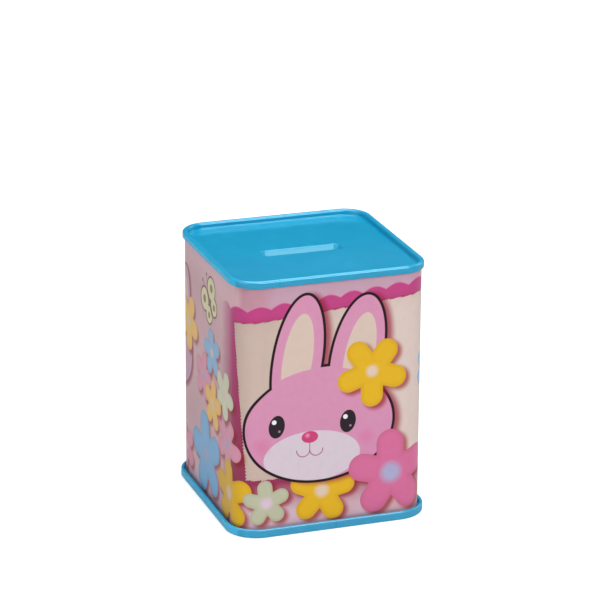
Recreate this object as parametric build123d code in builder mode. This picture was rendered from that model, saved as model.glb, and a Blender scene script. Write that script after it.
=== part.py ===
from build123d import *
import os

# A square tin money box: a printed tinplate sleeve between two push-fit
# plastic caps. Millimetres, +Z up, origin at the centre of the underside.
# The front face looks along -Y, the lock seam is in the middle of the back.

# ---------------------------------------------------------------- overall
total_height = 90.0        # floor to the crest of the top rim

# ---------------------------------------------------------------- tin sleeve
tin_side = 66.4            # outside width across the flats
tin_corner_r = 8.6         # outside corner radius
sheet_t = 0.25             # tinplate thickness
hem_h = 3.4                # height of the inward hems at both raw edges
hem_t = 2 * sheet_t        # folded thickness
hem_edge_r = 0.2           # rounding of the folded edges
seam_w = 4.2               # width of the flattened lock seam, inside
seam_t = 3 * sheet_t       # three more layers behind the outer one
seam_groove_w = 0.45       # line where the two sheet edges meet, outside
seam_groove_d = 0.16
seam_groove_x = seam_w / 2 - 0.6
seam_relief_w = 5.4        # notch in both plug walls that clears the seam
seam_relief_d = 0.55

# ---------------------------------------------------------------- fits
seat_gap = 0.02            # sheet edge to the bottom of its channel
plug_gap = 0.06            # hem to plug wall, all round
cover_gap = 0.06           # sleeve to the cover wall of the top cap

# ---------------------------------------------------------------- modelling
crest_flat = 0.02          # kept short of a full round on each side of a wall
select_tol = 0.01          # half-height of the band that selects by level
cut_margin = 1.0           # how far a cutter runs past the surface

# ---------------------------------------------------------------- top cap
top_side = 68.0
top_corner_r = 9.4
rim_t = 2.0                # width of the rounded rim, seen from above
cover_h = 2.5              # outside height of the rim
recess_d = 2.2             # crest down to the panel
panel_t = 1.2
top_channel_d = 1.3        # depth of the channel that takes the sheet edge
top_plug_z = 81.6          # lower edge of the plug wall
top_plug_chamfer = 0.5
plug_t = 1.2               # plug wall, both caps
panel_fillet = 0.7
mouth_l = 28.4             # coin slot where it meets the panel
mouth_w = 6.0
mouth_r = 2.2
mouth_edge_r = 0.5
funnel_h = 2.0             # sloping sides lead down to the clear slot
slot_l = 26.0              # clear opening
slot_w = 4.2
slot_r = 1.0
chute_t = 1.4              # guide wall moulded under the slot
chute_h = 2.2

# ---------------------------------------------------------------- base cap
base_side = 70.2
base_corner_r = 10.9
base_edge_r = 0.5          # outer edge of the underside
floor_t = 1.3
lip_t = 1.1
lip_h = 3.0                # from the underside
base_plug_h = 6.4          # above the floor plate
base_plug_chamfer = 0.45
foot_w = 3.6               # standing rim round the underside
foot_d = 0.45
gate_r = 1.6
gate_h = 0.25              # how far the gate stands out of the foot recess
gate_overlap = 0.05        # how far it is sunk into the floor
ejector_r = 2.5
ejector_d = 0.12
ejector_pitch = 40.0

# ---------------------------------------------------------------- derived
cover_z = total_height - cover_h
panel_z = total_height - recess_d
panel_under_z = panel_z - panel_t
tin_z0 = floor_t + seat_gap
tin_z1 = cover_z + top_channel_d - seat_gap
tin_h = tin_z1 - tin_z0
plug_side = tin_side - 2 * hem_t - 2 * plug_gap
plug_corner_r = tin_corner_r - hem_t - plug_gap
bore_side = plug_side - 2 * plug_t
bore_corner_r = plug_corner_r - plug_t
cover_inner_side = tin_side + 2 * cover_gap
cover_inner_r = tin_corner_r + cover_gap
recess_side = top_side - 2 * rim_t
recess_corner_r = top_corner_r - rim_t
lip_inner_side = base_side - 2 * lip_t
lip_inner_r = base_corner_r - lip_t


def rounded_square(side, corner_r, mode=Mode.ADD):
    """Add a centred rounded square to the open sketch, or cut it out."""
    return RectangleRounded(side, side, corner_r, mode=mode)


def make_tin_body():
    with BuildPart() as tin_body:
        # one sheet wrapped round four rounded corners
        with BuildSketch(Plane.XY.offset(tin_z0)):
            rounded_square(tin_side, tin_corner_r)
            rounded_square(tin_side - 2 * sheet_t, tin_corner_r - sheet_t, Mode.SUBTRACT)
        extrude(amount=tin_h)

        # raw edges folded inwards, bottom and top; the hems start at
        # mid-sheet so that they fuse with the wall
        for hem_z in (tin_z0, tin_z1 - hem_h):
            with BuildSketch(Plane.XY.offset(hem_z)):
                rounded_square(tin_side - sheet_t, tin_corner_r - sheet_t / 2)
                rounded_square(tin_side - 2 * hem_t, tin_corner_r - hem_t, Mode.SUBTRACT)
            extrude(amount=hem_h)

        # the folded edges are round, not sharp
        fillet(tin_body.edges().group_by(Axis.Z)[-1], hem_edge_r)
        fillet(tin_body.edges().group_by(Axis.Z)[0], hem_edge_r)

        # flattened lock seam down the inside of the back, between the hems
        with BuildSketch(Plane.XY.offset(tin_z0 + hem_h)):
            with Locations((0, tin_side / 2 - sheet_t / 2 - seam_t / 2)):
                Rectangle(seam_w, seam_t + sheet_t / 2)
        extrude(amount=tin_h - 2 * hem_h)

        # the meeting line of the seam, outside
        with BuildSketch(Plane.XY.offset(tin_z0)):
            with Locations((seam_groove_x, tin_side / 2)):
                Rectangle(seam_groove_w, 2 * seam_groove_d)
        extrude(amount=tin_h, mode=Mode.SUBTRACT)

    return tin_body.part


def make_top_cap():
    with BuildPart() as top_cap:
        # cover wall and panel from one block
        with BuildSketch(Plane.XY.offset(cover_z)):
            rounded_square(top_side, top_corner_r)
        extrude(amount=cover_h)

        # plug wall that goes down inside the sleeve
        with BuildSketch(Plane.XY.offset(top_plug_z)):
            rounded_square(plug_side, plug_corner_r)
        extrude(amount=cover_z - top_plug_z)
        chamfer(top_cap.edges().group_by(Axis.Z)[0], top_plug_chamfer)

        # recessed panel
        with BuildSketch(Plane.XY.offset(panel_z)):
            rounded_square(recess_side, recess_corner_r)
        extrude(amount=recess_d, mode=Mode.SUBTRACT)

        # rounded crest, and the fillet where the rim meets the panel
        panel_level = (Axis.Z, panel_z - select_tol, panel_z + select_tol)
        fillet(top_cap.edges().group_by(Axis.Z)[-1], rim_t / 2 - crest_flat)
        fillet(top_cap.edges().filter_by_position(*panel_level), panel_fillet)

        # hollow underneath
        with BuildSketch(Plane.XY.offset(top_plug_z)):
            rounded_square(bore_side, bore_corner_r)
        extrude(amount=panel_under_z - top_plug_z, mode=Mode.SUBTRACT)

        # guide wall under the coin slot, run up into the panel to fuse
        with BuildSketch(Plane.XY.offset(panel_under_z - chute_h)):
            RectangleRounded(
                slot_l + 2 * chute_t, slot_w + 2 * chute_t, slot_r + chute_t
            )
        extrude(amount=chute_h + panel_t / 2)

        # coin slot, cut through panel and guide wall
        with BuildSketch(Plane.XY.offset(panel_under_z - chute_h - cut_margin)):
            RectangleRounded(slot_l, slot_w, slot_r)
        extrude(amount=panel_t + chute_h + 2 * cut_margin, mode=Mode.SUBTRACT)

        # its sloping mouth, rounded where it meets the panel
        with BuildSketch(Plane.XY.offset(panel_z)):
            RectangleRounded(mouth_l, mouth_w, mouth_r)
        with BuildSketch(Plane.XY.offset(panel_z - funnel_h)):
            RectangleRounded(slot_l, slot_w, slot_r)
        loft(mode=Mode.SUBTRACT)
        panel_face = (
            top_cap.faces()
            .filter_by(Axis.Z)
            .filter_by_position(*panel_level)
            .sort_by(SortBy.AREA)[-1]
        )
        fillet(panel_face.inner_wires().edges(), mouth_edge_r)

        # notch in the plug wall that clears the lock seam of the sleeve
        with BuildSketch(Plane.XY.offset(top_plug_z)):
            with Locations((0, plug_side / 2)):
                Rectangle(seam_relief_w, 2 * seam_relief_d)
        extrude(amount=cover_z - top_plug_z, mode=Mode.SUBTRACT)

        # channel that takes the upper edge of the sleeve
        with BuildSketch(Plane.XY.offset(cover_z)):
            rounded_square(cover_inner_side, cover_inner_r)
            rounded_square(plug_side, plug_corner_r, Mode.SUBTRACT)
        extrude(amount=top_channel_d, mode=Mode.SUBTRACT)

    return top_cap.part


def make_base_cap():
    with BuildPart() as base_cap:
        # tray: plate and outer lip from one block
        with BuildSketch():
            rounded_square(base_side, base_corner_r)
        extrude(amount=lip_h)
        with BuildSketch(Plane.XY.offset(floor_t)):
            rounded_square(lip_inner_side, lip_inner_r)
        extrude(amount=lip_h - floor_t, mode=Mode.SUBTRACT)
        fillet(base_cap.edges().group_by(Axis.Z)[-1], lip_t / 2 - crest_flat)
        fillet(base_cap.edges().group_by(Axis.Z)[0], base_edge_r)

        # plug wall inside the sleeve
        with BuildSketch(Plane.XY.offset(floor_t)):
            rounded_square(plug_side, plug_corner_r)
            rounded_square(bore_side, bore_corner_r, Mode.SUBTRACT)
        extrude(amount=base_plug_h)
        chamfer(base_cap.edges().group_by(Axis.Z)[-1], base_plug_chamfer)

        # notch in the plug wall that clears the lock seam of the sleeve
        with BuildSketch(Plane.XY.offset(floor_t)):
            with Locations((0, plug_side / 2)):
                Rectangle(seam_relief_w, 2 * seam_relief_d)
        extrude(amount=base_plug_h, mode=Mode.SUBTRACT)

        # shallow recess underneath, so that it stands on a narrow rim
        with BuildSketch():
            rounded_square(base_side - 2 * foot_w, base_corner_r - foot_w)
        extrude(amount=foot_d, mode=Mode.SUBTRACT)

        # moulding gate in the middle of the recess
        with BuildSketch(Plane.XY.offset(foot_d - gate_h)):
            Circle(gate_r)
        extrude(amount=gate_h + gate_overlap)

        # four ejector pin marks on the inside of the floor
        with BuildSketch(Plane.XY.offset(floor_t - ejector_d)):
            with GridLocations(ejector_pitch, ejector_pitch, 2, 2):
                Circle(ejector_r)
        extrude(amount=ejector_d + cut_margin, mode=Mode.SUBTRACT)

    return base_cap.part


os.makedirs("parts", exist_ok=True)
for name, make_part in (
    ("tin_body", make_tin_body),
    ("top_cap", make_top_cap),
    ("base_cap", make_base_cap),
):
    part = make_part()
    part.label = name
    export_step(part, f"parts/{name}.step")
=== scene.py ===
# A square money box of printed tin: a folded sleeve between a blue plastic lid with a
# coin slot and a blue plastic base. It stands on z = 0 around the z axis, the front
# facing -y and the right side +x. Sizes are in millimetres unless a comment says otherwise.
import math
from functools import reduce

import bmesh
import bpy
import numpy as np
from mathutils import Matrix, Vector


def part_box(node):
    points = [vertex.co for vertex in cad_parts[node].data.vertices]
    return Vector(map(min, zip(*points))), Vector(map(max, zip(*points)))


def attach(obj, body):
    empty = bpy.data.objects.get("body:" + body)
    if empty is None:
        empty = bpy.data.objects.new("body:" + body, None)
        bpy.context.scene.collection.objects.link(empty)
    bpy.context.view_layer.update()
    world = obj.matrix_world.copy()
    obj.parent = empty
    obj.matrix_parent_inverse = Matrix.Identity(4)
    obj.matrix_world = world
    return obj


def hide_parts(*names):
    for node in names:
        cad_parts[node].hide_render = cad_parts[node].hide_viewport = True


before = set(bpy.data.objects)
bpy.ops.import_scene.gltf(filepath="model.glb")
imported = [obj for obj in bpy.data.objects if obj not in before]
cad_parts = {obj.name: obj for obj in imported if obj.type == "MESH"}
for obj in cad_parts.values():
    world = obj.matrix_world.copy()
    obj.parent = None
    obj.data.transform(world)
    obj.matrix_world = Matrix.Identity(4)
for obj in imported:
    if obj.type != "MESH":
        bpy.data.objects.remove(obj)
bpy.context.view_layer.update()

MM = 0.001
scene = bpy.context.scene

# ---------------------------------------------------------------- sizes
# Widths are half widths. A name ending in _Z is a height above the ground.
CORNER = 24.6              # centre of the concentric corners of sleeve, lid and plugs
TIN = 33.2
TIN_R = TIN - CORNER       # corner radius of the sleeve
TIN_Z0, TIN_Z1 = 1.32, 88.78
SHEET = 0.25
HEM_H = 3.4                # the sheet is folded inwards over this height at both ends
HEM_Z0, HEM_Z1 = TIN_Z0 + HEM_H, TIN_Z1 - HEM_H
FOLD_Z0, FOLD_Z1 = TIN_Z0 + SHEET, TIN_Z1 - SHEET     # where the folded edges begin
SEAM_X = 1.5               # the seam's meeting line on the back
# across the seam: distance from its line -> depth of the groove
GROOVE = {-0.26: 0.0, -0.2: 0.09, -0.1: 0.15, 0.0: 0.16, 0.1: 0.15, 0.2: 0.09, 0.26: 0.0}

PLUG = 32.64               # outside and inside of the plug walls of both caps
BORE = 31.44
NOTCH = 2.7                # the plug walls' notch for the seam
NOTCH_DEPTH = 0.55
LEAN_FROM = 33.6           # cap walls further out than this lean a little

COVER = 34.0               # the lid's outer wall
CHANNEL = 33.26            # outer wall of the lid's channel for the sheet
RIM_R = 1.0
FILLET = 0.7
TOP_Z = 90.0
PANEL_Z = 87.8
COVER_Z = 87.5
CHANNEL_Z = 88.8
PLUG_Z = 81.6
CHUTE_Z = 84.4
UNDER_Z = 86.6
# openings: half width in x, half width in y, corner radius
MOUTH = (14.2, 3.0, 2.2)
SLOT = (13.0, 2.1, 1.0)
FUNNEL_H = 2.0
MOUTH_ROUND = 0.5

BASE = 35.1
BASE_CORNER = 24.2
FOOT_W = 3.8               # width of the standing rim
RECESS_Z = 0.45
LIP_Z = 3.0
LIP_R = 0.55
FLOOR_Z = 1.3
BASE_PLUG_Z = 7.7

SIDE = 2 * CORNER + TIN_R * math.pi / 2    # a quarter of the way round the sleeve
PERIM = 4 * SIDE

SIZE_TOLERANCE = 0.00012   # m
for node, low, high in (
    ("tin_body", (-TIN, -TIN, TIN_Z0), (TIN, TIN, TIN_Z1)),
    ("top_cap", (-COVER, -COVER, PLUG_Z), (COVER, COVER, TOP_Z)),
    ("base_cap", (-BASE, -BASE, 0.0), (BASE, BASE, BASE_PLUG_Z)),
):
    for found, wanted in zip(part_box(node), (low, high)):
        if any(abs(found[i] - wanted[i] * MM) > SIZE_TOLERANCE for i in range(3)):
            raise SystemExit(f"the CAD node {node} no longer has the size given here")


# ---------------------------------------------------------------- rings
CORNER_STEPS, SIDE_STEPS = 20, 16


def columns(back_marks):
    """The columns that all rings of a mesh share, front, right, back, left.

    Returns (ax, ay, dx, dy) per column, for points (ax (hx - r) + r dx, ay (hy - r) + r dy),
    and (side number, place across the side from -1 to 1, turn round the corner).
    back_marks are further places across the back, in mm.
    """
    rows, places = [], []
    for k in range(4):
        across = {-1 + 2 * i / SIDE_STEPS for i in range(SIDE_STEPS)}
        if k == 2:
            across |= {x / CORNER for x in back_marks}
        steps = [(t, 0.0) for t in sorted(across)]
        steps += [(1.0, i / CORNER_STEPS * math.pi / 2) for i in range(CORNER_STEPS)]
        a = k * math.pi / 2
        for t, turn in steps:
            rows.append((t * math.cos(a) + math.sin(a), t * math.sin(a) - math.cos(a),
                         math.sin(a + turn), -math.cos(a + turn)))
            places.append((k, t, turn))
    return np.array(rows), np.array(places)


CAP_COLS, CAP_PLACES = columns((-NOTCH - 0.05, -NOTCH + 0.05, NOTCH - 0.05, NOTCH + 0.05))


def ring(half_x, half_y, radius, z, cols=CAP_COLS):
    out = np.empty((len(cols), 3))
    out[:, 0] = cols[:, 0] * (half_x - radius) + radius * cols[:, 2]
    out[:, 1] = cols[:, 1] * (half_y - radius) + radius * cols[:, 3]
    out[:, 2] = z
    return out


def square(half, z, centre=CORNER, cols=CAP_COLS):
    return ring(half, half, half - centre, z, cols)


def squares(points, centre=CORNER):
    """One rounded square per (half width, z)."""
    return [square(half, z, centre) for half, z in points]


def disc(radius, z):
    """A round ring with the cap columns, spread so that none fall together."""
    side, across, turn = CAP_PLACES.T
    a = np.radians(90.0 * side - 90.0 + 22.5 * across) + turn / 2
    return np.stack([radius * np.cos(a), radius * np.sin(a), np.full(len(a), z)], axis=1)


def grown(size, offset):
    return tuple(v + offset for v in size)


def morph(start, end, steps, z, drop=0.0):
    """Rings from one (half x, half y, radius) towards another, sinking by drop."""
    return [ring(*(a + (b - a) * t for a, b in zip(start, end)), z - drop * t) for t in steps]


def arc_points(across, z, radius, start, end, steps):
    """Points of an arc in the section plane, in degrees, both ends included."""
    angles = [math.radians(start + (end - start) * i / steps) for i in range(steps + 1)]
    return [(across + radius * math.cos(a), z + radius * math.sin(a)) for a in angles]


def cut_notch(loops, low, high):
    """Sinks the outside of a plug wall where the sleeve's seam passes it."""
    for p in loops:
        half = p[:, 1].max()
        if BORE + 0.3 < half < PLUG + 0.01 and low < p[0, 2] < high:
            hit = (np.abs(p[:, 0]) < NOTCH) & (p[:, 1] > half - 0.01)
            p[:, 1] = np.where(hit, np.minimum(p[:, 1], PLUG - NOTCH_DEPTH), p[:, 1])


def wave(x, y, seed):
    """A smooth, repeatable waviness of about -1 to 1: three crossing ripples."""
    return (np.sin(x * 0.17 + seed) * np.sin(y * 0.13 + 1.7 * seed + 0.4)
            + 0.6 * np.sin(x * 0.071 - y * 0.093 + 2.1 * seed)
            + 0.35 * np.sin(x * 0.31 + y * 0.23 + 0.9 * seed)) / 1.5


def lean(loops, foot, height, amount, seed):
    """Lets a cap's outer wall, rising from foot, lean by a few hundredths of a mm."""
    for p in loops:
        out = np.maximum(np.abs(p[:, 0]), np.abs(p[:, 1]))
        rise = np.where(out > LEAN_FROM, np.clip((p[:, 2] - foot) / height, 0, 1), 0.0)
        scale = 1.0 + rise * amount * wave(p[:, 0], p[:, 1], seed) - rise * 0.0008
        p[:, 0] *= scale
        p[:, 1] *= scale


def loops_to_mesh(name, loops, closed=False, capped=False):
    """Joins rings of equal count into quads. closed joins the last ring to the first,
    capped fills the first and the last."""
    n, m = len(loops[0]), len(loops)
    faces = []
    for j in range(m if closed else m - 1):
        a, b = j * n, ((j + 1) % m) * n
        for i in range(n):
            k = (i + 1) % n
            faces.append((a + i, a + k, b + k, b + i))
    if capped:
        faces.append(tuple(range(n - 1, -1, -1)))
        faces.append(tuple((m - 1) * n + i for i in range(n)))
    mesh = bpy.data.meshes.new(name)
    mesh.from_pydata([tuple(v) for v in np.concatenate(loops) * MM], [], faces)
    mesh.update()
    return mesh


def finish_mesh(mesh, body, sharp_angle=40.0):
    """Shades the mesh smooth and makes the object that rides on a body of the frame."""
    bm = bmesh.new()
    bm.from_mesh(mesh)
    bmesh.ops.recalc_face_normals(bm, faces=bm.faces)
    bm.to_mesh(mesh)
    bm.free()
    mesh.polygons.foreach_set("use_smooth", [True] * len(mesh.polygons))
    mesh.set_sharp_from_angle(angle=math.radians(sharp_angle))
    obj = bpy.data.objects.new(mesh.name, mesh)
    scene.collection.objects.link(obj)
    obj.modifiers.new("even_normals", "WEIGHTED_NORMAL").keep_sharp = True
    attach(obj, body)
    return obj


# ---------------------------------------------------------------- lid
def build_lid():
    # outer wall, rounded rim, fillet to the panel
    loops = squares([
        (COVER - 0.14, COVER_Z), (COVER - 0.04, COVER_Z + 0.04), (COVER, COVER_Z + 0.14),
        (COVER, COVER_Z + 0.4), (COVER, COVER_Z + 0.8), (COVER, TOP_Z - 1.15)])
    loops += squares(arc_points(COVER - RIM_R, TOP_Z - RIM_R, RIM_R, 0, 180, 16))
    rim_inside = COVER - 2 * RIM_R
    loops += squares([(rim_inside, TOP_Z - 1.15)])
    panel = rim_inside - FILLET
    loops += squares(arc_points(panel, PANEL_Z + FILLET, FILLET, 0, -90, 7))
    # panel: rings that turn from the rounded square into the mouth of the slot,
    # sunk and waved by a few hundredths
    steps = [0.012, 0.05, 0.12, 0.22, 0.34, 0.46, 0.58, 0.70, 0.81, 0.90, 0.955, 0.985]
    panel_loops = morph((panel, panel, panel - CORNER), grown(MOUTH, 0.34), steps, PANEL_Z)
    for t, p in zip(steps, panel_loops):
        sag = math.sin(math.pi * min(1.0, t * 1.02)) ** 0.8
        p[:, 2] += sag * (-0.05 + 0.035 * wave(p[:, 0] * 1.3, p[:, 1] * 1.1, 0.6))
    loops += panel_loops
    # rounded edge of the mouth, its slope, and the slot
    slope = math.atan2(FUNNEL_H, MOUTH[0] - SLOT[0])
    lead = MOUTH_ROUND * math.tan(slope / 2)
    for i in range(8):
        a = slope * i / 7
        out = lead - MOUTH_ROUND * math.sin(a)
        loops.append(ring(MOUTH[0] + out, MOUTH[1] + out, MOUTH[2] + max(out, -0.2),
                          PANEL_Z - (MOUTH_ROUND - MOUTH_ROUND * math.cos(a))))
    loops += morph(MOUTH, SLOT, (0.22, 0.45, 0.75, 0.93), PANEL_Z, drop=FUNNEL_H)
    loops += [ring(*SLOT, PANEL_Z - FUNNEL_H - depth) for depth in (0.06, 0.2, 0.9, 1.2)]
    # lower edge of the slot's guide wall and its outside: (distance from slot, z)
    for out, z in (
        (0.03, CHUTE_Z + 0.08), (0.12, CHUTE_Z + 0.02), (0.25, CHUTE_Z), (1.15, CHUTE_Z),
        (1.3, CHUTE_Z + 0.04), (1.38, CHUTE_Z + 0.12), (1.4, CHUTE_Z + 0.25),
        (1.4, UNDER_Z - 0.5), (1.44, UNDER_Z - 0.25), (1.55, UNDER_Z - 0.07), (1.75, UNDER_Z),
    ):
        loops.append(ring(*grown(SLOT, out), z))
    # underside of the panel
    under = BORE - 0.45
    loops += morph(grown(SLOT, 1.75), (under, under, under - CORNER),
                   (0.02, 0.15, 0.35, 0.55, 0.75, 0.92, 0.985, 1.0), UNDER_Z)
    # plug wall, channel for the sheet, inside of the outer wall
    loops += squares([
        (BORE - 0.22, UNDER_Z - 0.06), (BORE - 0.06, UNDER_Z - 0.22), (BORE, UNDER_Z - 0.45),
        (BORE, UNDER_Z - 1.0), (BORE, PLUG_Z + 0.4), (BORE, PLUG_Z + 0.12),
        (BORE + 0.05, PLUG_Z + 0.04), (BORE + 0.14, PLUG_Z), (PLUG - 0.58, PLUG_Z),
        (PLUG - 0.5, PLUG_Z + 0.02), (PLUG - 0.05, PLUG_Z + 0.46), (PLUG, PLUG_Z + 0.56),
        (PLUG, PLUG_Z + 1.0), (PLUG, UNDER_Z), (PLUG, CHANNEL_Z - 0.2),
        (PLUG + 0.06, CHANNEL_Z - 0.06), (PLUG + 0.16, CHANNEL_Z), (CHANNEL - 0.16, CHANNEL_Z),
        (CHANNEL - 0.06, CHANNEL_Z - 0.06), (CHANNEL, CHANNEL_Z - 0.2),
        (CHANNEL, COVER_Z + 0.4), (CHANNEL, COVER_Z + 0.15), (CHANNEL + 0.05, COVER_Z + 0.04),
        (CHANNEL + 0.14, COVER_Z)])
    cut_notch(loops, PLUG_Z - 0.01, COVER_Z - 0.1)
    lean(loops, foot=86.0, height=4.0, amount=0.0011, seed=2.0)
    return finish_mesh(loops_to_mesh("lid_moulding", loops, closed=True), "lid")


# ---------------------------------------------------------------- base
def build_base():
    # underside: round gate mark, recess, standing rim
    loops = [disc(radius, z) for radius, z in (
        (0.5, 0.2), (1.3, 0.2), (1.5, 0.22), (1.6, 0.3), (1.62, 0.4),
        (1.8, RECESS_Z), (2.4, RECESS_Z))]
    recess = BASE - FOOT_W
    loops += morph((2.4, 2.4, 2.4), (recess, recess, recess - BASE_CORNER),
                   (0.1, 0.25, 0.45, 0.65, 0.85, 0.97, 1.0), RECESS_Z)
    rim = [(recess + 0.1, 0.43), (recess + 0.17, 0.37), (recess + 0.2, 0.28),
           (recess + 0.2, 0.12), (recess + 0.24, 0.03), (recess + 0.34, 0.0),
           (33.0, 0.0), (34.4, 0.0)]
    rim += arc_points(BASE - 0.5, 0.5, 0.5, -90, 0, 6)
    # outer wall, rounded lip and its inside
    rim += [(BASE, 0.9), (BASE, 1.7), (BASE, 2.3)]
    rim += arc_points(BASE - LIP_R, LIP_Z - LIP_R, LIP_R, 0, 180, 12)
    rim += [(BASE - 2 * LIP_R, 2.2), (BASE - 2 * LIP_R, 1.7), (BASE - 1.14, FLOOR_Z + 0.2),
            (BASE - 1.24, FLOOR_Z + 0.06), (BASE - 1.4, FLOOR_Z)]
    loops += squares(rim, BASE_CORNER)
    # floor of the gap, plug wall, inner floor
    loops += squares([
        (PLUG + 0.3, FLOOR_Z), (PLUG + 0.1, FLOOR_Z + 0.04), (PLUG, FLOOR_Z + 0.15),
        (PLUG, FLOOR_Z + 0.7), (PLUG, BASE_PLUG_Z - 0.8), (PLUG, BASE_PLUG_Z - 0.5),
        (PLUG - 0.06, BASE_PLUG_Z - 0.38), (PLUG - 0.4, BASE_PLUG_Z - 0.04),
        (PLUG - 0.5, BASE_PLUG_Z), (BORE + 0.14, BASE_PLUG_Z),
        (BORE + 0.04, BASE_PLUG_Z - 0.04), (BORE, BASE_PLUG_Z - 0.14),
        (BORE, BASE_PLUG_Z - 0.5), (BORE, FLOOR_Z + 0.7), (BORE - 0.04, FLOOR_Z + 0.3),
        (BORE - 0.16, FLOOR_Z + 0.1), (BORE - 0.4, FLOOR_Z)])
    floor = BORE - 0.4
    loops += morph((floor, floor, floor - CORNER), (0.8, 0.8, 0.8),
                   (0.02, 0.1, 0.25, 0.4, 0.55, 0.7, 0.85, 0.97), FLOOR_Z)
    cut_notch(loops, FLOOR_Z + 0.13, 8.0)
    lean(loops, foot=0.0, height=3.0, amount=0.0016, seed=4.0)
    return finish_mesh(loops_to_mesh("base_moulding", loops, capped=True), "base")


# ---------------------------------------------------------------- sleeve
SEAM_RELIEF_W = 2.1        # half width of the strip standing inwards behind the seam
SEAM_RELIEF = 0.69
PRINTED = {"outside", "fold", "hem"}
BARE_SLOT = 4              # material slot of the bare inside
PRINT_MARGIN = (-0.5, 90.5)    # picture heights below and above, for the folded edges
EPS = 1e-6


def bulge(run, across, z):
    """How far the sheet stands out from flat: panels crown and wave a little, but
    the sheet is straight under both caps."""
    up = (math.sin(math.pi * np.clip((z - 6.0) / 78.0, 0, 1)) ** 0.6
          * np.clip((z - 5.0) / 6.0, 0, 1) * np.clip((85.0 - z) / 6.0, 0, 1))
    crown = 1 - np.clip(np.abs(across), 0, 1) ** 2
    return up * (0.17 * crown + crown ** 0.5 * 0.07 * wave(run * 1.1, z, 1.3))


def sleeve_section():
    """The closed section as (kind, half width, z), up the outside and down the inside,
    and the number of rows that lie outside."""
    levels = [6 + 2.6 * i for i in range(31)]
    mid, inside = TIN - SHEET, TIN - 2 * SHEET

    outer = [FOLD_Z0, 1.9, 2.6, 3.6, HEM_Z0] + levels + [HEM_Z1, 86.4, 87.4, 88.1, FOLD_Z1]
    rows = [("outside", TIN, z) for z in outer]
    rows += [("fold", *p) for p in arc_points(mid, FOLD_Z1, SHEET, 30, 150, 4)]
    rows += [("hem", inside, z) for z in (FOLD_Z1, 88.0, 87.0, 85.7, HEM_Z1 + 0.06)]
    rows += [("bare", TIN - 0.44, HEM_Z1), ("bare", TIN - 0.31, HEM_Z1 - 0.02),
             ("bare", mid, HEM_Z1 - 0.12)]
    rows += [("bare", mid, z) for z in reversed(levels + [84.9])]
    rows += [("bare", mid, HEM_Z0 + 0.18), ("bare", TIN - 0.31, HEM_Z0 + 0.04),
             ("bare", TIN - 0.44, HEM_Z0)]
    rows += [("hem", inside, z) for z in (HEM_Z0 - 0.06, 4.2, 3.0, 2.0, FOLD_Z0)]
    rows += [("fold", *p) for p in arc_points(mid, FOLD_Z0, SHEET, 210, 330, 4)]
    return rows, len(outer)


def map_sleeve(mesh, section, outer_count, run):
    """Two UV maps: the print's own millimetres over 100, and an atlas that gives the
    outside two wide rows and the rest a narrow strip. Also sets the material slots."""
    count, rows = len(run), len(section)
    length = [0.0]
    for j in range(rows):
        (_, half0, z0), (_, half1, z1) = section[j], section[(j + 1) % rows]
        length.append(length[-1] + math.hypot(half0 - half1, z0 - z1))
    inner_from = outer_count - 1
    span = length[rows] - length[inner_from]
    litho = mesh.uv_layers.new(name="litho")
    bake = mesh.uv_layers.new(name="OFBake")
    atlas_start = CORNER - SIDE                 # the far end of the front left corner
    ends = np.append(run, PERIM - CORNER)

    print_uv = np.zeros((len(mesh.loops), 2))
    atlas_uv = np.zeros((len(mesh.loops), 2))
    slots = np.zeros(len(mesh.polygons), int)
    for j in range(rows):
        (kind0, _, z0), (kind1, _, z1) = section[j], section[(j + 1) % rows]
        outside = j < inner_from
        printed = kind0 in PRINTED and kind1 in PRINTED
        low, high = z0, z1
        if printed and not outside:
            low, high = PRINT_MARGIN[z0 > 40], PRINT_MARGIN[z1 > 40]
        for i in range(count):
            s0, s1 = ends[i], ends[i + 1]
            middle = (s0 + s1) / 2
            face = j * count + i
            slots[face] = int((middle + SIDE / 2) // SIDE) % 4 if printed else BARE_SLOT
            # the left face runs on leftwards from the front
            shift = -PERIM if middle > 2.5 * SIDE else 0.0
            if outside:
                row, along = divmod((s0 - atlas_start + EPS) % PERIM, 2 * SIDE)
                u0 = (along - EPS) / (2 * SIDE)
                u1 = u0 + (s1 - s0) / (2 * SIDE)
                v0, v1 = (0.004 + row * 0.447 + (z - FOLD_Z0) / (FOLD_Z1 - FOLD_Z0) * 0.438
                          for z in (z0, z1))
            else:
                u0, u1 = s0 / PERIM, s1 / PERIM
                v0, v1 = (0.9 + (length[k] - length[inner_from]) / span * 0.097
                          for k in (j, j + 1))
            u0, u1 = 0.003 + u0 * 0.994, 0.003 + u1 * 0.994
            s0, s1 = s0 + shift, s1 + shift
            corners = slice(face * 4, face * 4 + 4)
            print_uv[corners] = np.array([(s0, low), (s1, low), (s1, high), (s0, high)]) / 100.0
            atlas_uv[corners] = (u0, v0), (u1, v0), (u1, v1), (u0, v1)
    litho.data.foreach_set("uv", print_uv.ravel())
    bake.data.foreach_set("uv", atlas_uv.ravel())
    mesh.polygons.foreach_set("material_index", slots)
    litho.active_render = True


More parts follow.
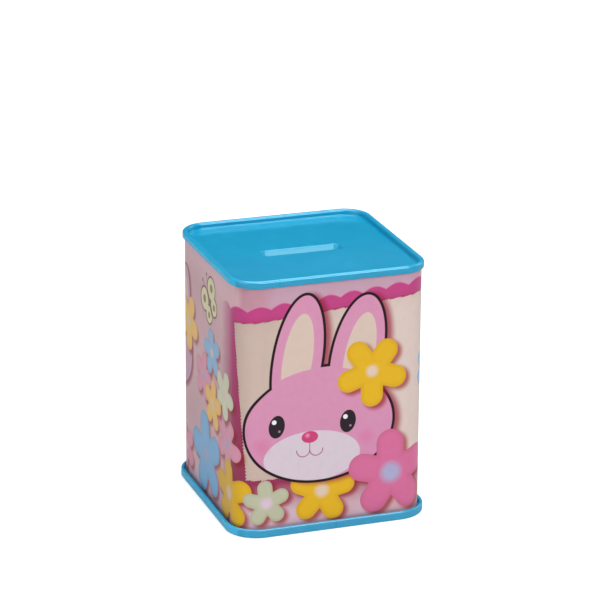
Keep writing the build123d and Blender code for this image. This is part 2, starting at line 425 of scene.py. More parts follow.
def build_sleeve():
    marks = [-2.13, -2.08, 2.08, 2.13] + [-(SEAM_X + g) for g in GROOVE]
    cols, places = columns(marks)
    side, across, turn = places.T
    run = side * SIDE + across * CORNER + TIN_R * turn
    back = side == 2
    x_back = -across * CORNER                   # x of the columns on the back

    section, outer_count = sleeve_section()
    loops = []
    for kind, half, z in section:
        out = bulge(run, across, z) * (np.abs(across) < 1)
        if kind in ("outside", "fold"):
            for g, depth in GROOVE.items():
                out -= np.where(back & (np.abs(x_back - (SEAM_X + g)) < EPS), depth, 0.0)
        if kind == "bare" and 5.0 < z < 85.2:
            out -= np.where(back & (np.abs(x_back) < SEAM_RELIEF_W), SEAM_RELIEF, 0.0)
        p = square(half, z, cols=cols)
        p[:, 0] += cols[:, 2] * out
        p[:, 1] += cols[:, 3] * out
        loops.append(p)
    mesh = loops_to_mesh("printed_sleeve", loops, closed=True)
    map_sleeve(mesh, section, outer_count, run)
    return finish_mesh(mesh, "sleeve", sharp_angle=35.0)


# ---------------------------------------------------------------- shader arithmetic
class Value:
    """A float output of a shader tree that can be used in plain arithmetic."""

    def __init__(self, pen, sock):
        self.pen, self.sock = pen, sock

    def __add__(self, other):
        return self.pen.math("ADD", self, other)

    def __sub__(self, other):
        return self.pen.math("SUBTRACT", self, other)

    def __rsub__(self, other):
        return self.pen.math("SUBTRACT", other, self)

    def __mul__(self, other):
        return self.pen.math("MULTIPLY", self, other)

    def __neg__(self):
        return self * -1.0


def is_colour(v):
    return isinstance(v, tuple) or (isinstance(v, bpy.types.NodeSocket) and v.type == "RGBA")


GROUPS = {}


class Pen:
    """Builds shader nodes. run and z are the print's own millimetres."""

    def __init__(self, tree):
        self.tree = tree

    def call(self, key, build, *args):
        """Runs build(pen, *args) inside a node group made once per key, which keeps the
        trees small. Numbers go in as float sockets, colours as colour sockets."""
        args = (self.run, self.z) + args
        if key not in GROUPS:
            tree = bpy.data.node_groups.new(key, "ShaderNodeTree")
            for i, v in enumerate(args):
                tree.interface.new_socket(
                    f"in{i}", in_out="INPUT",
                    socket_type="NodeSocketColor" if is_colour(v) else "NodeSocketFloat")
            pen = Pen(tree)
            sockets = pen.node("NodeGroupInput").outputs
            inner = [sockets[i] if is_colour(v) else Value(pen, sockets[i])
                     for i, v in enumerate(args)]
            pen.run, pen.z = inner[:2]
            result = build(pen, *inner[2:])
            is_value = isinstance(result, Value)
            tree.interface.new_socket(
                "out", in_out="OUTPUT",
                socket_type="NodeSocketFloat" if is_value else "NodeSocketColor")
            pen.put(pen.node("NodeGroupOutput").inputs[0], result)
            GROUPS[key] = (tree, is_value)
        tree, is_value = GROUPS[key]
        group = self.node("ShaderNodeGroup", node_tree=tree)
        for i, v in enumerate(args):
            self.put(group.inputs[i], v)
        return Value(self, group.outputs[0]) if is_value else group.outputs[0]

    def node(self, kind, **props):
        n = self.tree.nodes.new(kind)
        for k, v in props.items():
            setattr(n, k, v)
        return n

    def put(self, socket, v):
        """Links or sets an input."""
        if isinstance(v, Value):
            self.tree.links.new(v.sock, socket)
        elif isinstance(v, bpy.types.NodeSocket):
            self.tree.links.new(v, socket)
        elif isinstance(v, tuple) and len(socket.default_value) == 4:
            socket.default_value = (*v, 1.0)
        else:
            socket.default_value = v

    def put_all(self, node, values):
        for name, v in values.items():
            self.put(node.inputs[name], v)

    def math(self, operation, *args, clamp=False):
        n = self.node("ShaderNodeMath", operation=operation, use_clamp=clamp)
        for i, a in enumerate(args):
            self.put(n.inputs[i], a)
        return Value(self, n.outputs[0])

    def madd(self, x, factor, addend, clamp=False):
        return self.math("MULTIPLY_ADD", x, factor, addend, clamp=clamp)

    def sin(self, x):
        return self.math("SINE", x)

    def abs(self, x):
        return self.math("ABSOLUTE", x)

    def min(self, a, b):
        return self.math("MINIMUM", a, b)

    def max(self, a, b):
        return self.math("MAXIMUM", a, b)

    def hypot(self, x, y):
        return self.math("SQRT", self.madd(x, x, y * y))

    def split(self, vector):
        n = self.node("ShaderNodeSeparateXYZ")
        self.put(n.inputs[0], vector)
        return [Value(self, n.outputs[i]) for i in range(3)]

    def use_print_uv(self):
        u, v, _ = self.split(self.node("ShaderNodeUVMap", uv_map="litho").outputs[0])
        self.run = u * 100.0
        self.z = v * 100.0
        flat = self.node("ShaderNodeCombineXYZ")
        self.put(flat.inputs[0], self.run)
        self.put(flat.inputs[1], self.z)
        self.flat = flat.outputs[0]

    # colours
    def const(self, colour):
        n = self.node("ShaderNodeRGB")
        n.outputs[0].default_value = (*colour, 1.0)
        return n.outputs[0]

    def mix(self, a, b, amount, blend="MIX"):
        n = self.node("ShaderNodeMix", data_type="RGBA", blend_type=blend, clamp_factor=True)
        self.put(n.inputs[0], amount)
        self.put(n.inputs[6], a)
        self.put(n.inputs[7], b)
        return n.outputs[2]

    def times(self, colour, factors):
        return self.mix(colour, factors, 1.0, "MULTIPLY")

    def tone(self, colour, factors, amount):
        """Multiplies the colour by factors where amount says so."""
        return self.mix(colour, self.times(colour, factors), amount)

    def paint(self, under, colour, shape, edge):
        return self.mix(under, colour, self.fill(shape, edge))

    # masks of 0 to 1
    def fill(self, shape, edge):
        """Inside of a shape, with an edge of the given width."""
        return self.madd(shape, -1.0 / edge, 0.5, clamp=True)

    def map_range(self, x, off, on, **props):
        n = self.node("ShaderNodeMapRange", **props)
        for i, v in enumerate((x, off, on)):
            self.put(n.inputs[i], v)
        return Value(self, n.outputs[0])

    def fade(self, x, off, on):
        """0 where x is off, 1 where it is on, straight between."""
        if isinstance(off, Value) or isinstance(on, Value):
            return self.map_range(x, off, on)
        k = 1.0 / (on - off)
        return self.madd(x, k, -off * k, clamp=True)

    def fades(self, *triples):
        """The product of several fades, each (x, off, on)."""
        return reduce(lambda a, b: a * b, [self.fade(*t) for t in triples])

    def blur(self, shape, edge):
        return self.map_range(shape, edge, -edge, interpolation_type="SMOOTHSTEP")

    # shapes: signed distances in mm, negative inside
    def distance(self, mid, high):
        def build(pen, mid, high):
            return pen.hypot(pen.run - mid, pen.z - high)

        return self.call("length", build, mid, high)

    def oval(self, mid, high, half_x, half_y, turn):
        def build(pen, mid, high, inv_x, inv_y, cos, sin):
            x, y = pen.run - mid, pen.z - high
            x_turned = pen.madd(x, cos, y * sin)
            y_turned = y * cos - x * sin
            u, v = x_turned * inv_x, y_turned * inv_y
            level = pen.hypot(u, v)
            grad_u, grad_v = u * inv_x, v * inv_y
            # the tiny addend keeps the gradient from being zero
            grad = pen.math("SQRT", pen.madd(grad_u, grad_u, pen.madd(grad_v, grad_v, 1e-9)))
            return pen.math("DIVIDE", level * (level - 1.0), grad)

        t = math.radians(turn)
        return self.call("ellipse", build, mid, high, 1.0 / half_x, 1.0 / half_y,
                         math.cos(t), math.sin(t))

    def petals(self, mid, high, reach, half, turn):
        """Five long round-ended petals of half width half reaching to reach + half."""
        def build(pen, mid, high, reach, half, turn):
            x, y = pen.run - mid, pen.z - high
            r = pen.hypot(x, y)
            fifth = math.pi / 5
            heading = pen.math("ARCTAN2", y, x) - turn * (math.pi / 180)
            a = pen.math("WRAP", heading, fifth, -fifth)
            past = pen.max(r * pen.math("COSINE", a) - reach, 0.0)
            return pen.hypot(past, r * pen.math("SINE", a)) - half

        return self.call("petals", build, mid, high, reach, half, turn)

    def segment(self, start, end):
        def build(pen, x0, z0, dx, dz, inv_square):
            x, z = pen.run - x0, pen.z - z0
            t = pen.madd(x, dx, z * dz)
            t = pen.math("MULTIPLY", t, inv_square, clamp=True)
            return pen.hypot(x - t * dx, z - t * dz)

        dx, dz = end[0] - start[0], end[1] - start[1]
        return self.call("segment", build, *start, dx, dz, 1.0 / (dx * dx + dz * dz))

    def low_arc(self, mid, high, radius):
        """The lower half of a circle's line."""
        r = self.distance(mid, high)
        return self.max(self.abs(r - radius), self.z - high)

    # textures
    def noise(self, vector, scale, detail=2.0, rough=0.5, distortion=0.0):
        n = self.node("ShaderNodeTexNoise")
        self.put_all(n, {"Vector": vector, "Scale": scale, "Detail": detail,
                         "Roughness": rough, "Distortion": distortion})
        return Value(self, n.outputs["Fac"])

    def voronoi(self, vector, randomness=1.0):
        n = self.node("ShaderNodeTexVoronoi", feature="F1")
        self.put_all(n, {"Vector": vector, "Randomness": randomness})
        return Value(self, n.outputs["Distance"])

    def stretch(self, vector, scale, turn=0.0):
        """Scales a vector per axis and turns it about z, in radians."""
        n = self.node("ShaderNodeMapping")
        self.put_all(n, {"Vector": vector, "Scale": scale, "Rotation": (0, 0, turn)})
        return n.outputs[0]

    def object_mm(self):
        """Position in the object in millimetres."""
        n = self.node("ShaderNodeTexCoord")
        scaled = self.node("ShaderNodeVectorMath", operation="SCALE")
        self.put(scaled.inputs[0], n.outputs["Object"])
        scaled.inputs["Scale"].default_value = 1000.0
        return scaled.outputs[0]

    def bump(self, height, strength, distance):
        n = self.node("ShaderNodeBump")
        self.put_all(n, {"Height": height, "Strength": strength, "Distance": distance})
        return n.outputs[0]

    def mix_shaders(self, first, second, amount):
        n = self.node("ShaderNodeMixShader")
        for i, v in enumerate((amount, first, second)):
            self.put(n.inputs[i], v)
        return n.outputs[0]


def blank_pen(owner):
    """A pen on the emptied node tree of a material or a world."""
    owner.use_nodes = True
    owner.node_tree.nodes.clear()
    return Pen(owner.node_tree)


def new_material(name):
    material = bpy.data.materials.new(name)
    pen = blank_pen(material)
    bsdf = pen.node("ShaderNodeBsdfPrincipled")
    pen.put(pen.node("ShaderNodeOutputMaterial").inputs[0], bsdf.outputs[0])
    return material, pen, bsdf


# ---------------------------------------------------------------- the printed picture
# Everything is laid out in millimetres on the unrolled sleeve: run goes round the
# outside, 0 in the middle of the front face, and z is the height.
def srgb(*channels):
    """An sRGB colour, 0 to 255, as linear values."""
    parts = [v / 255.0 for v in channels]
    return tuple(v / 12.92 if v <= 0.04045 else ((v + 0.055) / 1.055) ** 2.4 for v in parts)


YELLOW = srgb(226, 178, 22)
YELLOW_SOFT = srgb(240, 192, 100)
PINK = srgb(212, 108, 153)
PINK_SOFT = srgb(222, 150, 176)
BLUE = srgb(124, 181, 224)
BLUE_SOFT = srgb(140, 184, 222)
GREEN = srgb(188, 190, 162)
GREEN_SOFT = srgb(212, 212, 186)
HEART_PALE = srgb(222, 200, 182)
HEART_LILAC = srgb(222, 194, 214)
HEART_BLUE = srgb(166, 172, 208)
FLOWER_SHADOW = srgb(158, 26, 44)

INK = srgb(30, 0, 14)
INK_SOFT = srgb(140, 88, 112)
FUR, FUR_LOW = srgb(212, 144, 177), srgb(210, 140, 177)
FUR_PALE, FUR_PALE_LOW = srgb(206, 160, 184), srgb(202, 156, 182)
BUNNY_SHADOW = srgb(160, 32, 70)
EAR_INSIDE = srgb(214, 192, 178)
MUZZLE = srgb(213, 199, 210)
BLUSH = srgb(214, 96, 146)
EYE, EYE_GLINT, EYE_GLOW = srgb(36, 22, 34), srgb(240, 236, 244), srgb(150, 130, 150)
NOSE, NOSE_SHINE = srgb(202, 62, 116), srgb(232, 150, 186)
MOUTH_LINE = srgb(150, 60, 96)

WING, WING_SPOT = srgb(226, 214, 172), srgb(122, 112, 84)
WING_DARK = srgb(104, 92, 70)

GROUND, GROUND_DIM = srgb(216, 174, 180), srgb(204, 164, 172)
GROUND_FRONT, GROUND_CORNER = srgb(196, 158, 176), srgb(192, 142, 156)
CLOUD = srgb(208, 184, 202)
MAGENTA = srgb(190, 56, 126)
PLUM = srgb(146, 30, 74)
SCALLOP_LIGHT = srgb(214, 132, 174)
PAPER_LEFT, PAPER_RIGHT = srgb(201, 179, 168), srgb(217, 198, 190)

# flowers: centre run, z, reach, turn in degrees, petal colour, heart colour, heart radius
FLOWERS_BEHIND = [
    (-67.5, 45.0, 8.8, 80, PINK_SOFT, HEART_BLUE, 1.5),
    (-58.0, 56.2, 8.6, 100, BLUE_SOFT, HEART_PALE, 1.7),
    (-42.0, 29.5, 9.8, 62, PINK_SOFT, HEART_BLUE, 1.8),
    (-45.0, 46.0, 9.0, 66, GREEN_SOFT, HEART_PALE, 1.8),
    (-57.0, 38.0, 9.0, 84, YELLOW_SOFT, HEART_PALE, 1.8),
    (-84.5, 59.0, 10.5, 60, YELLOW_SOFT, HEART_PALE, 2.0),
    (-64.5, 17.0, 15.6, 100, BLUE, HEART_BLUE, 2.9),
    (-88.0, 12.0, 9.0, 40, PINK_SOFT, HEART_PALE, 1.8),
    (-40.0, 12.6, 12.0, 94, YELLOW, HEART_PALE, 2.6),
    (-23.6, 11.6, 8.3, 95, GREEN, HEART_LILAC, 2.2),
    (-4.0, 13.8, 11.8, 84, YELLOW, HEART_PALE, 2.5),
    (38.0, 52.5, 7.8, 70, BLUE_SOFT, HEART_PALE, 1.7),
    (46.5, 36.0, 10.0, 84, YELLOW, HEART_PALE, 2.2),
    (40.5, 9.5, 8.2, 60, YELLOW_SOFT, HEART_PALE, 1.8),
    (58.0, 46.5, 8.6, 96, GREEN, HEART_PALE, 1.9),
    (74.0, 35.0, 11.0, 60, PINK, HEART_BLUE, 2.6),
    (58.5, 18.0, 15.0, 90, BLUE, HEART_BLUE, 3.0),
    (78.0, 12.0, 10.5, 88, YELLOW, HEART_PALE, 2.4),
    (73.0, 58.5, 9.4, 76, BLUE_SOFT, HEART_PALE, 1.8),
    (89.5, 24.0, 8.4, 64, GREEN_SOFT, HEART_PALE, 1.8),
    (103.0, 40.0, 10.5, 90, YELLOW, HEART_PALE, 2.3),
    (118.0, 32.0, 10.0, 60, BLUE_SOFT, HEART_PALE, 2.0),
    (133.5, 36.5, 9.0, 84, PINK_SOFT, HEART_BLUE, 1.8),
    (113.0, 57.0, 9.4, 54, GREEN_SOFT, HEART_PALE, 1.9),
    (129.5, 57.5, 11.0, 96, BLUE, HEART_BLUE, 2.4),
    (104.0, 14.5, 14.0, 80, PINK, HEART_BLUE, 3.2),
    (121.5, 10.5, 9.4, 94, GREEN, HEART_PALE, 2.2),
    (138.5, 14.5, 12.0, 66, YELLOW, HEART_PALE, 2.5),
]
FLOWERS_FRONT = [
    (13.4, 54.4, 12.6, 54, YELLOW, HEART_PALE, 2.2),
    (20.6, 17.3, 15.6, 92, PINK, HEART_BLUE, 3.8),
]
# butterflies: centre run, z, size, turn in degrees
BUTTERFLIES = [(-60.5, 73.6, 1.0, 38), (57.5, 70.5, 0.95, -30), (121.0, 75.0, 0.9, 20)]
# pale clouds of the ground: centre run, z, radius
CLOUDS = [(-14.0, 8.0, 11.0), (12.0, 7.0, 9.0), (-30.0, 6.0, 8.0), (52.0, 6.0, 12.0),
          (90.0, 8.0, 12.0), (128.0, 8.0, 12.0), (-75.0, 8.0, 12.0), (128.0, 70.0, 14.0)]
BUNNY_REACH = 30
BUTTERFLY_REACH = 12
FLOWER_SPILL = 2.5         # how far a flower's shadow may reach past its petals

# In head units: x, y from the middle of the head, half axes, turn in degrees
EARS = ((-7.8, 23.8, 9.1, 23.4, -8.8), (13.0, 23.3, 9.7, 22.0, -11.3))
EAR_INSIDES = ((-7.9, 23.8, 5.2, 16.4, -8.8), (13.8, 23.0, 5.3, 15.4, -11.3))
# In butterfly units: x, y, radius
WINGS = ((-4.4, 2.8, 4.3), (4.4, 2.8, 4.3), (-3.1, -3.4, 3.4), (3.1, -3.4, 3.4))


def copies(start, end, mid, reach):
    """The copies of mid, one turn of the sleeve apart, that reach into start..end."""
    turns = [mid + k * PERIM for k in (-1, 0, 1)]
    return [m for m in turns if start - reach < m < end + reach]


def cast_shadow(pen, col, shape, grow, edge, factors, colour, strength):
    under = pen.mix(pen.times(col, factors), colour, 0.5)
    return pen.mix(col, under, pen.blur(shape - grow, edge) * strength)


def draw_flower(pen, col, mid, z, reach, turn, petal, heart, heart_r):
    """One flower: soft shadow to the lower right, petals a little deeper at
    their rims, and a pale airbrushed heart."""
    half = reach * 0.315
    length = reach * 0.685
    shadow = pen.petals(mid + 1.25, z - 0.95, length, half, turn)
    col = cast_shadow(pen, col, shadow, grow=0.25, edge=1.15, factors=(0.66, 0.26, 0.22),
                      colour=FLOWER_SHADOW, strength=0.92)
    shape = pen.petals(mid, z, length, half, turn)
    rim = pen.times(petal, (0.90, 0.85, 0.82))
    body = pen.mix(rim, petal, pen.fade(shape, off=0.0, on=-half * 0.42))
    face = pen.fill(shape, edge=0.13)
    col = pen.mix(col, body, face)
    glow = pen.fade(pen.distance(mid, z), off=heart_r * 1.25, on=heart_r * 0.55)
    return pen.mix(col, heart, glow * face * 0.95)


def draw_bunny(pen, col, mid, z, size, ink, fur, fur_low, look):
    """A plain rabbit's head with two long ears. mid, z is the middle of the head, size
    the head unit in mm; look shifts the face sideways, in head units."""
    def at(x, y):
        return mid + x * size, z + y * size

    def oval(x, y, half_x, half_y, turn=0):
        return pen.oval(*at(x, y), half_x * size, half_y * size, turn)

    def dot(x, y, radius):
        return pen.distance(*at(x, y)) - radius * size

    def head_and_ears(dx=0.0, dy=0.0):
        head = oval(dx, dy, 26.6, 20.0)
        ears = pen.min(*[oval(x + dx, y + dy, *rest) for x, y, *rest in EARS])
        return head, pen.min(head, ears)

    head, whole = head_and_ears()
    # where the ears grow together
    web_mid, web_low = at(1.8, 12.0)
    web_high = at(0, 21.4)[1]
    web = pen.max(pen.max(pen.z - web_high, web_low - pen.z),
                  pen.abs(pen.run - web_mid) - 3.2 * size)
    whole = pen.min(whole, web)
    # soft red shadow to the right of the outline
    _, shadow = head_and_ears(1.9, -0.5)
    col = cast_shadow(pen, col, shadow, grow=0.3 * size, edge=1.5 * size,
                      factors=(0.62, 0.22, 0.30), colour=BUNNY_SHADOW, strength=0.95)
    # fur, slightly cooler towards the chin
    low = pen.fade(pen.z, off=z + 8 * size, on=z - 14 * size)
    col = pen.paint(col, pen.mix(pen.const(fur), fur_low, low), whole, edge=0.14)
    # insides of the ears, ending on the line of the head
    inner = pen.min(*[oval(*ear) for ear in EAR_INSIDES])
    inner = pen.max(inner, (head - 0.5 * size) * -1.0)
    col = pen.paint(col, EAR_INSIDE, inner, edge=0.16)
    # pale muzzle, kept inside the outline
    muzzle = pen.max(oval(look - 2.6, -10.6, 17.0, 9.1), head + 0.5 * size)
    col = pen.paint(col, MUZZLE, muzzle, edge=0.2)
    for x, y in ((-20.2, -5.2), (16.6, -5.6)):
        glow = pen.fade(pen.distance(*at(look + x, y)), off=3.9 * size, on=0.6 * size)
        col = pen.mix(col, BLUSH, glow * pen.fill(head, edge=0.2) * 0.4)
    # outline, centred a little inside the edge
    col = pen.paint(col, ink, pen.abs(whole + 0.24 * size) - 0.48 * size, edge=0.13)
    # eyes, each with a glint at the upper left and a dim one at the lower right
    for x, y in ((look - 15.0, 1.3), (look + 10.0, 0.5)):
        col = pen.paint(col, EYE, oval(x, y, 2.8, 4.0, -8), edge=0.14)
        col = pen.paint(col, EYE_GLINT, dot(x - 0.9, y + 1.7, 0.82), edge=0.14)
        col = pen.paint(col, EYE_GLOW, dot(x + 0.9, y - 1.7, 0.42), edge=0.14)
    # rounded nose with a soft shine
    x, y = look - 3.4, -3.6
    col = pen.paint(col, NOSE, oval(x, y, 2.9, 2.1), edge=0.16)
    shine = pen.fade(pen.distance(*at(x - 0.8, y + 0.6)), off=1.1 * size, on=0.2 * size)
    col = pen.mix(col, NOSE_SHINE, shine * 0.8)
    # mouth: a short stem and two small arcs
    stem = pen.segment(at(x, y - 2.0), at(x, y - 4.6)) - 0.13 * size
    arcs = pen.min(*[pen.low_arc(*at(x + dx, y - 4.5), 2.3 * size) for dx in (-2.3, 2.3)])
    line = pen.min(stem, arcs - 0.17 * size)
    return pen.mix(col, MOUTH_LINE, pen.fill(line, edge=0.16) * 0.9)


def draw_butterfly(pen, col, mid, z, size, turn):
    """Four round wings with a spot each, a slim body and two feelers."""
    t = math.radians(turn)
    cos, sin = math.cos(t), math.sin(t)

    def at(x, y):
        return mid + (x * cos - y * sin) * size, z + (x * sin + y * cos) * size

    wings = reduce(pen.min, [pen.distance(*at(x, y)) - r * size for x, y, r in WINGS])
    col = pen.tone(col, (0.72, 0.6, 0.64), pen.blur(wings - 0.3, edge=1.8) * 0.6)
    col = pen.paint(col, WING, wings, edge=0.15)
    col = pen.paint(col, WING_DARK, pen.abs(wings + 0.1) - 0.3 * size, edge=0.16)
    spots = reduce(pen.min, [pen.distance(*at(x * 1.05, y * 1.05)) - r * 0.34 * size
                             for x, y, r in WINGS])
    col = pen.mix(col, WING_SPOT, pen.fill(spots, edge=0.7) * 0.9)
    tail, neck = at(0, -4.6), at(0, 3.6)
    tip_left, tip_right = at(-2.6, 9.0), at(2.6, 9.0)
    body = pen.segment(tail, neck) - 0.75 * size
    feelers = pen.min(pen.segment(neck, tip_left), pen.segment(neck, tip_right)) - 0.16 * size
    tips = pen.min(pen.distance(*tip_left), pen.distance(*tip_right)) - 0.62 * size
    return pen.paint(col, WING_DARK, pen.min(body, pen.min(feelers, tips)), edge=0.2)


def draw_ground(pen, start, end):
    """Airbrushed dusty pink, with paler clouds. Each fade is (place, where 0, where 1)."""
    run, z = pen.run, pen.z
    ripple = pen.sin(run * 0.11 + 0.7) * pen.sin(z * 0.13 + 1.1)
    col = pen.mix(pen.const(GROUND), GROUND_DIM, ripple * 0.5 + 0.5)
    upper = (z, 40, 70)
    col = pen.mix(col, GROUND_FRONT, pen.fades((run, -33, -29), (run, 40, 30), upper))
    col = pen.mix(col, GROUND_CORNER, pen.fades((run, -33.5, -31.5), (run, -20, -26), upper))
    for cloud_run, cloud_z, radius in CLOUDS:
        for mid in copies(start, end, cloud_run, radius):
            glow = pen.fade(pen.distance(mid, cloud_z), off=radius, on=0.0)
            col = pen.mix(col, CLOUD, glow * 0.7)
    # the left face pales towards the lid
    pale = pen.fades((run, -33, -36.5), (run, -92, -88), (z, 76, 85))
    return pen.tone(col, (1.16, 1.20, 1.22), pale)


def draw_card(pen, col):
    """The picture card of the front face, which reaches round both front corners, on a
    deep backing with a scalloped top."""
    run, z = pen.run, pen.z
    # small ripples that make the card's edge ragged
    rag = (pen.sin(run * 7.1 + z * 1.3) * 0.10 + pen.sin(z * 5.3 - run * 2.0) * 0.14
           + pen.sin(z * 11.3 + run * 9.7) * 0.07)
    # scallops 8 mm wide and 1.5 mm deep, under a line that climbs to the right
    line = run * 0.0734 + 83.0
    scallop = pen.abs(pen.sin((run + 30.0) * (math.pi / 8.0))) * 1.5 - 1.5
    above = z - (line + scallop)
    # distances beyond the card's four slightly slanting edges
    left = (run * -1.0) + (z * -0.0927 - 28.55)
    right = run + (z * -0.04 - 42.6)
    bottom = (z - 19.9 + run * 0.006) * -1.0
    top = z - (run * 0.0763 + 77.5)
    # backing, darker downwards and just above the card
    sides = pen.fades((run, -47.5, -37.5), (run, 54, 45))
    deep = pen.mix(pen.const(MAGENTA), PLUM, pen.fade(z, off=74, on=30) * 0.9)
    deep = pen.tone(deep, (0.84, 0.72, 0.80), pen.fade(top, off=2.5, on=0.0) * 0.5)
    foot = pen.fade(z, off=8, on=18.5)
    col = pen.mix(col, deep, sides * pen.fill(above, edge=0.16) * foot * 0.96)
    # the soft light edge on top of the scallops
    light = pen.fill(pen.abs(above) - 0.22, edge=0.3)
    col = pen.mix(col, SCALLOP_LIGHT, light * sides * 0.6)
    # the card with its dark edge and dimmer margin
    card = pen.max(pen.max(left, right), pen.max(bottom, top)) + rag
    col = pen.mix(col, PLUM, pen.fill(card - 0.28, edge=0.22) * 0.85)
    paper = pen.mix(pen.const(PAPER_LEFT), PAPER_RIGHT, pen.fade(run, off=-24, on=24))
    paper = pen.tone(paper, (0.90, 0.84, 0.82), pen.fade(card, off=-5, on=0.0) * 0.35)
    return pen.paint(col, paper, card, edge=0.16)


def draw_flowers(pen, col, flowers, start, end):
    for flower in flowers:
        for mid in copies(start, end, flower[0], flower[2] + FLOWER_SPILL):
            col = pen.call("draw_flower", draw_flower, col, mid, *flower[1:])
    return col


def draw_picture(pen, start, end):
    """The whole picture between two places round the sleeve."""
    col = draw_ground(pen, start, end)
    if start < 52 and end > -52:
        col = draw_card(pen, col)
    # a second rabbit looks round the left back corner
    for mid in copies(start, end, -99.5, BUNNY_REACH):
        col = draw_bunny(pen, col, mid, z=46.5, size=0.72, ink=INK_SOFT, fur=FUR_PALE,
                         fur_low=FUR_PALE_LOW, look=-6.25)
    col = draw_flowers(pen, col, FLOWERS_BEHIND, start, end)
    for place, *rest in BUTTERFLIES:
        for mid in copies(start, end, place, BUTTERFLY_REACH):
            col = draw_butterfly(pen, col, mid, *rest)
    for mid in copies(start, end, -5.0, BUNNY_REACH):
        col = draw_bunny(pen, col, mid, z=37.2, size=1.0, ink=INK, fur=FUR,
                         fur_low=FUR_LOW, look=0.0)
    return draw_flowers(pen, col, FLOWERS_FRONT, start, end)


# ---------------------------------------------------------------- materials
def scratches(pen, place, scale, seed, threshold=0.62):
    """Sparse fine hairlines as a 0..1 mask."""
    stretched = pen.stretch(place, scale=(scale, scale * 0.02, scale), turn=0.5 + seed)
    lines = pen.noise(stretched, scale=1.0, detail=3.0, rough=0.6)
    patches = pen.noise(place, scale=0.09 + 0.01 * seed)
    return pen.fades((lines, threshold, threshold + 0.05), (patches, 0.48, 0.62))


def print_material(name, start, end):
    """Offset print on tinplate under a clear varnish."""
    material, pen, bsdf = new_material(name)
    pen.use_print_uv()
    col = draw_picture(pen, start, end)
    # ink: fine screen dots and a slight mottle
    dots = pen.voronoi(pen.stretch(pen.flat, scale=(5.5, 5.5, 5.5), turn=0.26),
                       randomness=0.12)
    screen = pen.fade(dots, off=0.15, on=0.55)
    mottle = pen.noise(pen.flat, scale=0.35, detail=4.0, rough=0.6)
    grain = pen.noise(pen.flat, scale=6.0)
    col = pen.tone(col, (0.93, 0.92, 0.93), screen * 0.35)
    col = pen.tone(col, (0.92, 0.91, 0.93), pen.fade(mottle, off=0.45, on=0.75) * 0.5)
    # painted shade: the print is darkened just above where the sheet enters the base
    col = pen.tone(col, (0.50, 0.58, 0.75), pen.fade(pen.z, off=3.9, on=3.1) * 0.5)
    rub = scratches(pen, pen.flat, scale=1.6, seed=0.4)
    # orange peel of the varnish and faint rolling lines of the sheet
    peel = pen.noise(pen.flat, scale=0.9, detail=3.0)
    lines = pen.noise(pen.stretch(pen.flat, scale=(0.05, 2.2, 1.0)), scale=1.0)
    height = pen.madd(lines, 0.35, peel + grain * 0.06)
    pen.put_all(bsdf, {
        "Base Color": col,
        "Roughness": pen.madd(mottle, 0.10, 0.27) + rub * 0.12,
        "IOR": 1.5,
        "Specular IOR Level": 0.2,
        "Coat Weight": 0.3,
        "Coat Roughness": 0.14,
        "Coat IOR": 1.48,
        "Normal": pen.bump(height, strength=0.10, distance=0.00006),
        "Coat Normal": pen.bump(peel, strength=0.10, distance=0.00005),
    })
    return material


def tin_material():
    """Bare tinplate inside the sleeve: bright, finely rolled, a little dull in places."""
    material, pen, bsdf = new_material("bare_tinplate")
    pen.use_print_uv()
    streak = pen.noise(pen.stretch(pen.flat, scale=(0.06, 3.0, 1.0)),
                       scale=1.0, detail=4.0, rough=0.6)
    fine = pen.noise(pen.stretch(pen.flat, scale=(0.4, 14.0, 1.0)), scale=1.0)
    cloud = pen.noise(pen.flat, scale=0.08, detail=4.0, rough=0.6)
    spangle = pen.voronoi(pen.stretch(pen.flat, scale=(0.5, 0.5, 1.0)))
    bright, dim, warm = srgb(196, 198, 200), srgb(168, 170, 174), srgb(188, 184, 172)
    col = pen.mix(pen.const(bright), dim, pen.fade(streak, off=0.35, on=0.7))
    col = pen.mix(col, warm, pen.fade(cloud, off=0.5, on=0.75) * 0.6)
    pen.put_all(bsdf, {
        "Base Color": pen.tone(col, (0.9, 0.9, 0.92), spangle * 0.5),
        "Metallic": 1.0,
        "Roughness": pen.madd(cloud, 0.18, pen.madd(streak, 0.12, 0.2)),
        "Normal": pen.bump(streak + fine * 0.4, strength=0.15, distance=0.00005),
    })
    return material


# linear colours of the caps' plastic
CAP_BLUE = (0.006, 0.315, 0.530)
CAP_DEEP = (0.004, 0.295, 0.510)
CAP_PALE = (0.012, 0.345, 0.560)
# the paler blue of rubbed edges, also used for the painted glow
CAP_WEAR_AND_GLOW = (0.070, 0.620, 0.860)
CAP_MILK = (0.30, 0.62, 1.0)
CAP_GREYER = (0.10, 0.34, 0.54)


